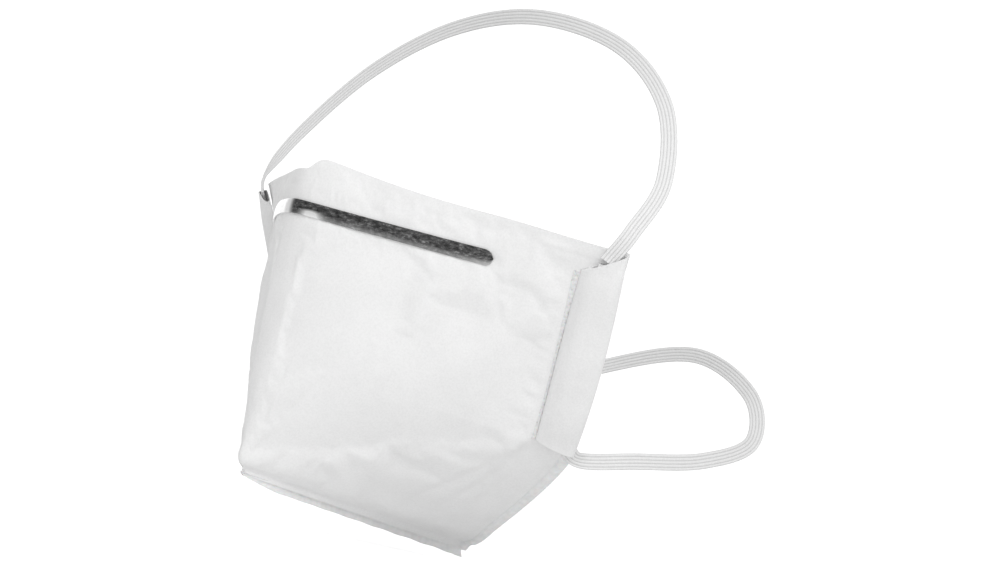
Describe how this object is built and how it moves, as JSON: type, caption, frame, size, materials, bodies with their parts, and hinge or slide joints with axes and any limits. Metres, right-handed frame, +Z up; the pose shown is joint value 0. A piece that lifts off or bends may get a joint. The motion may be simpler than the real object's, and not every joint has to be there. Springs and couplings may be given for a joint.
{
  "type": "disposable dust mask",
  "caption": "Flat-fold fabric dust mask with a metal nose clip, side sleeves and one elastic strap forming a head loop and a neck loop.",
  "frame": {"origin": "under the middle of the whole mask with its strap, at the level of the chin seam's lowest point", "axes": "+Z up the front fold, -Y the way the wearer faces, +X to the wearer's left"},
  "size_m": [0.2096, 0.2108, 0.2035],
  "materials": {
    "outer_fabric": "matt spunbonded non-woven, white",
    "filter_web": "soft melt-blown web, white",
    "support_web": "thermally bonded web, off-white",
    "inner_fabric": "smooth spunbonded non-woven, white",
    "sleeve_fabric": "matt spunbonded non-woven, white",
    "welded_seam": "pressed and welded non-woven, slightly translucent",
    "nose_foam": "closed-cell foam, matt",
    "elastic": "flat knitted elastic with lengthwise ribs, white",
    "clip_metal": "soft rolled strip with a scuffed sheen"
  },
  "bodies": {
    "right_half": {"outer_cover_right": "outer_fabric", "filter_layer_right": "filter_web", "support_layer_right": "support_web", "inner_cover_right": "inner_fabric", "strap_sleeve_right": "sleeve_fabric", "chin_seam_right": "welded_seam", "nose_foam_right": "nose_foam", "strap_run_right": "elastic", "nose_clip_right": "clip_metal"},
    "left_half": {"outer_cover_left": "outer_fabric", "filter_layer_left": "filter_web", "support_layer_left": "support_web", "inner_cover_left": "inner_fabric", "strap_sleeve_left": "sleeve_fabric", "chin_seam_left": "welded_seam", "nose_foam_left": "nose_foam", "strap_run_left": "elastic", "nose_clip_left": "clip_metal"},
    "headband_left": {"headband_left": "elastic"},
    "headband_right": {"headband_right": "elastic"},
    "neckband_left": {"neckband_left": "elastic"},
    "neckband_right": {"neckband_right": "elastic"}
  },
  "joints": [
    {"name": "fold", "type": "hinge", "parent": "right_half", "child": "left_half", "pos_m": [0, -0.10415, 0.0695], "axis": [0, 0, 1], "range_deg": [0, 106], "deforming": ["outer_cover_left", "filter_layer_left", "support_layer_left", "inner_cover_left", "strap_sleeve_left", "chin_seam_left", "nose_foam_left", "strap_run_left", "outer_cover_right", "filter_layer_right", "support_layer_right", "inner_cover_right", "strap_sleeve_right", "chin_seam_right", "nose_foam_right", "strap_run_right"]},
    {"name": "headband_swing_left", "type": "hinge", "parent": "left_half", "child": "headband_left", "pos_m": [0.09799, -0.04454, 0.11822], "axis": [1, 0, 0], "range_deg": [-70, 0], "deforming": ["headband_left"]},
    {"name": "headband_swing_right", "type": "hinge", "parent": "right_half", "child": "headband_right", "pos_m": [-0.09799, -0.04454, 0.11822], "axis": [1, 0, 0], "range_deg": [-70, 0], "deforming": ["headband_right"]},
    {"name": "neckband_swing_left", "type": "hinge", "parent": "left_half", "child": "neckband_left", "pos_m": [0.0706, -0.02186, 0.04518], "axis": [1, 0, 0], "range_deg": [-55, 0], "deforming": ["neckband_left"]},
    {"name": "neckband_swing_right", "type": "hinge", "parent": "right_half", "child": "neckband_right", "pos_m": [-0.0706, -0.02186, 0.04518], "axis": [1, 0, 0], "range_deg": [-55, 0], "deforming": ["neckband_right"]}
  ],
  "couplings": [
    {"joint": "headband_swing_right", "follows": "headband_swing_left", "ratio": 1},
    {"joint": "neckband_swing_right", "follows": "neckband_swing_left", "ratio": 1}
  ]
}
